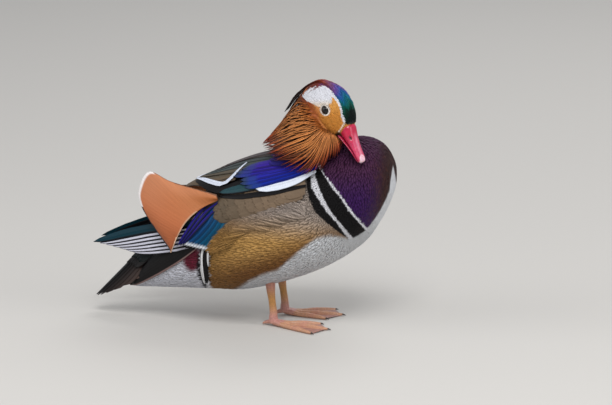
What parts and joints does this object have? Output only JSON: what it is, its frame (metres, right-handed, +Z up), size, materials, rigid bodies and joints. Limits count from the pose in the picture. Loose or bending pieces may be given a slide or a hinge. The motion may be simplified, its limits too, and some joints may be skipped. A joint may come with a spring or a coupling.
{
  "type": "mandarin duck",
  "caption": "Life-size still model of a drake mandarin duck standing with its head turned to one side, with crest, ruff and raised sail feathers.",
  "frame": {"origin": "centre of the bounding box in plan, on the floor that the feet stand on", "axes": "+X from the tail towards the breast, +Y to the bird's left, +Z up"},
  "size_m": [0.3088, 0.1396, 0.2551],
  "materials": {
    "torso": "soft body feathers: golden flank, maroon breast, white belly",
    "head": "short smooth feathers",
    "neck": "long narrow hackles",
    "crest": "long glossy feathers",
    "bill": "smooth horn",
    "eye": "wet gloss",
    "wing": "overlapping wing feathers",
    "primaries": "stiff flight feathers",
    "sail": "broad upright feather",
    "scapulars": "glossy shoulder feathers",
    "tail": "stiff tail feathers",
    "leg": "scaly skin",
    "foot": "scaly skin and webs"
  },
  "bodies": {
    "root": {"torso": "torso", "head": "head", "neck": "neck", "crest": "crest", "bill_upper": "bill", "bill_lower": "bill", "eye_right": "eye", "eye_left": "eye", "wing_right": "wing", "primaries_right": "primaries", "sail_right": "sail", "scapulars_right": "scapulars", "leg_right": "leg", "foot_right": "foot", "wing_left": "wing", "primaries_left": "primaries", "sail_left": "sail", "scapulars_left": "scapulars", "leg_left": "leg", "foot_left": "foot", "tail": "tail"}
  },
  "joints": []
}
